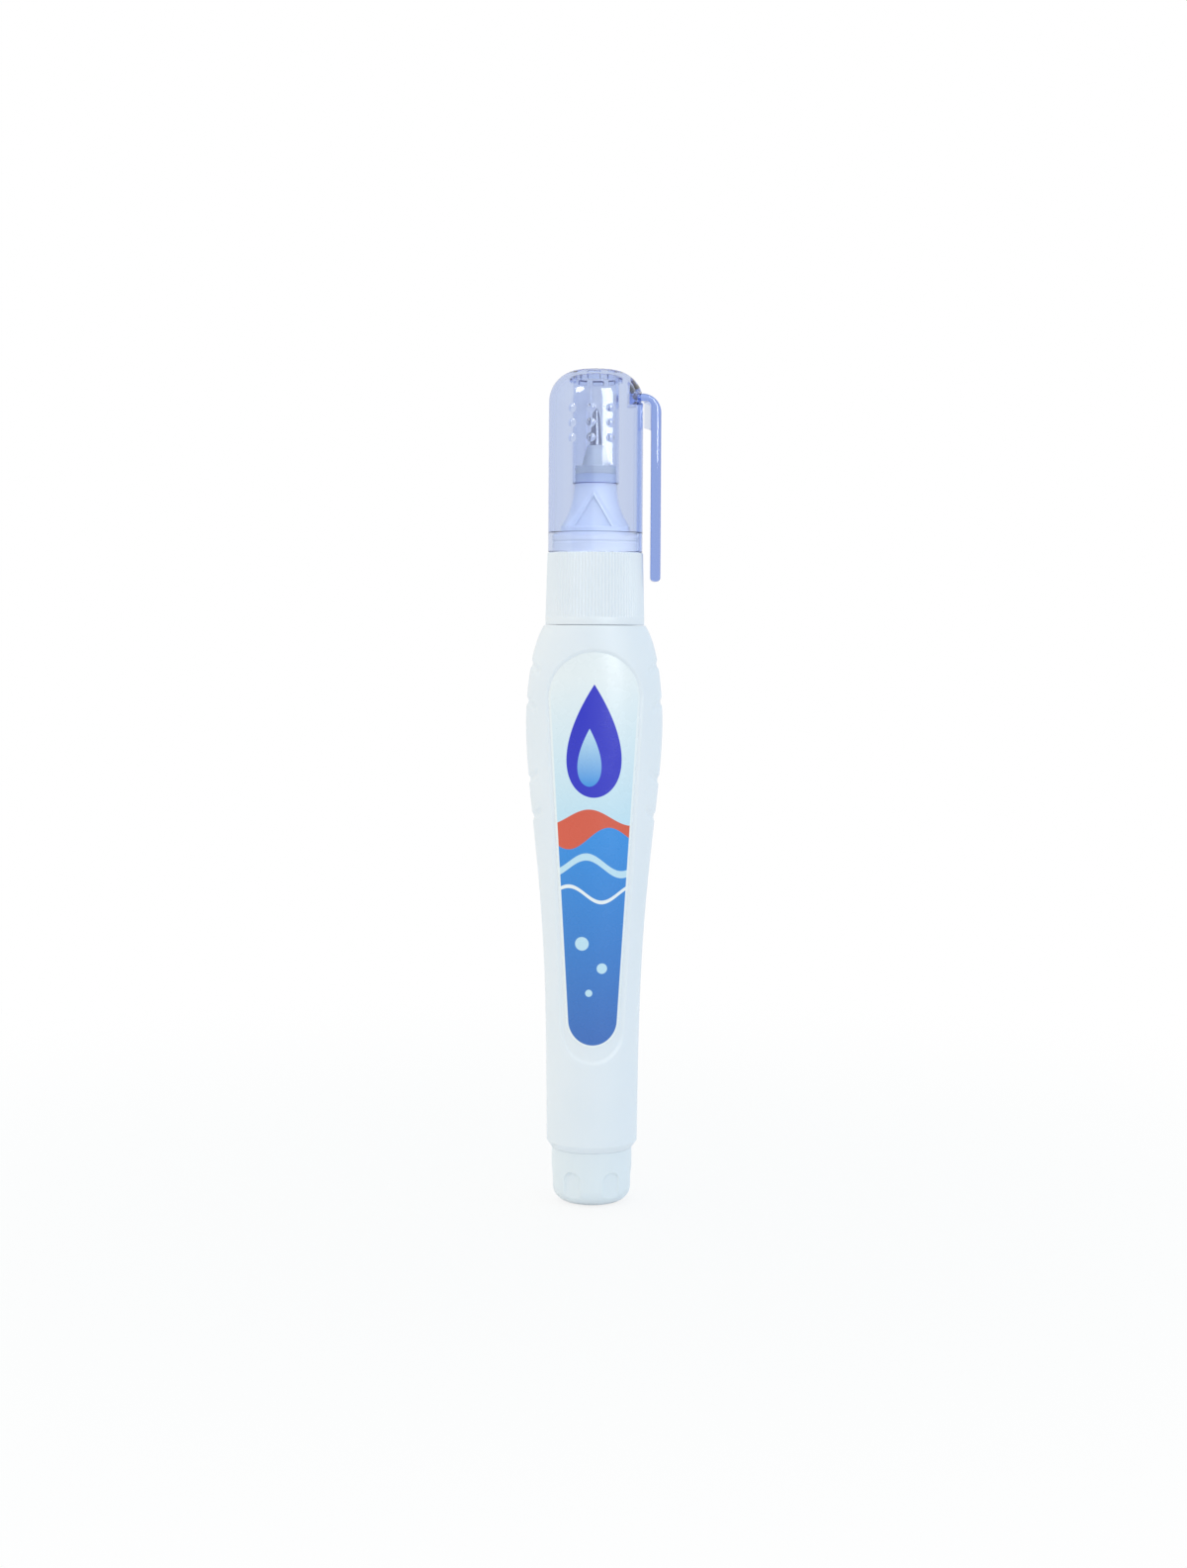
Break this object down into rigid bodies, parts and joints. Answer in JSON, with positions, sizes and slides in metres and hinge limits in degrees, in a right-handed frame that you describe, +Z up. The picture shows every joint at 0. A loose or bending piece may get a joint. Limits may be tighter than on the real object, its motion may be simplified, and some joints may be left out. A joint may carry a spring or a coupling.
{
  "type": "correction pen",
  "caption": "Squeeze correction pen with an oval bottle, ribbed nozzle, sprung needle tip, clear pull-off cap with pocket clip, and end plug.",
  "frame": {"origin": "centre of the end plug's flat foot", "axes": "+Z up along the pen towards the cap, -Y the side with the front label, +X the side with the pocket clip"},
  "size_m": [0.0214, 0.0162, 0.13],
  "materials": {
    "bottle_plastic": "glossy blown polyethylene",
    "nozzle_plastic": "moulded polypropylene",
    "plug_plastic": "satin moulded polyethylene",
    "natural_plastic": "milky natural moulding",
    "clear_tint": "clear lavender-blue moulding",
    "tip_metal": "turned nickel silver",
    "spring_steel": "drawn wire",
    "ball_steel": "polished ball",
    "front_print": "printed film",
    "back_print": "printed film"
  },
  "bodies": {
    "pen": {"bottle": "bottle_plastic", "nozzle": "nozzle_plastic", "tip_holder": "natural_plastic", "metal_tip": "tip_metal", "spring_seat": "natural_plastic", "needle_spring": "spring_steel", "end_plug": "plug_plastic", "front_label": "front_print", "back_label": "back_print"},
    "cap": {"cap_shell": "clear_tint", "inner_cap": "clear_tint"},
    "clip": {"pocket_clip": "clear_tint"},
    "needle": {"valve_needle": "tip_metal"},
    "ball": {"mixing_ball": "ball_steel"}
  },
  "joints": [
    {"name": "cap_pull", "type": "slide", "parent": "pen", "child": "cap", "axis": [0, 0, 1], "range_m": [0, 0.04]},
    {"name": "clip_flex", "type": "hinge", "parent": "cap", "child": "clip", "pos_m": [0.0063, 0, 0.12565], "axis": [0, -1, 0], "range_deg": [0, 4], "stiffness_Nm_per_rad": 0.1},
    {"name": "needle_press", "type": "slide", "parent": "pen", "child": "needle", "axis": [0, 0, -1], "range_m": [0, 0.0005], "stiffness_N_per_m": 400, "springref_m": -0.0005, "deforming": ["needle_spring"]},
    {"name": "ball_rattle", "type": "slide", "parent": "pen", "child": "ball", "axis": [0, 0, 1], "range_m": [0, 0.098]}
  ]
}
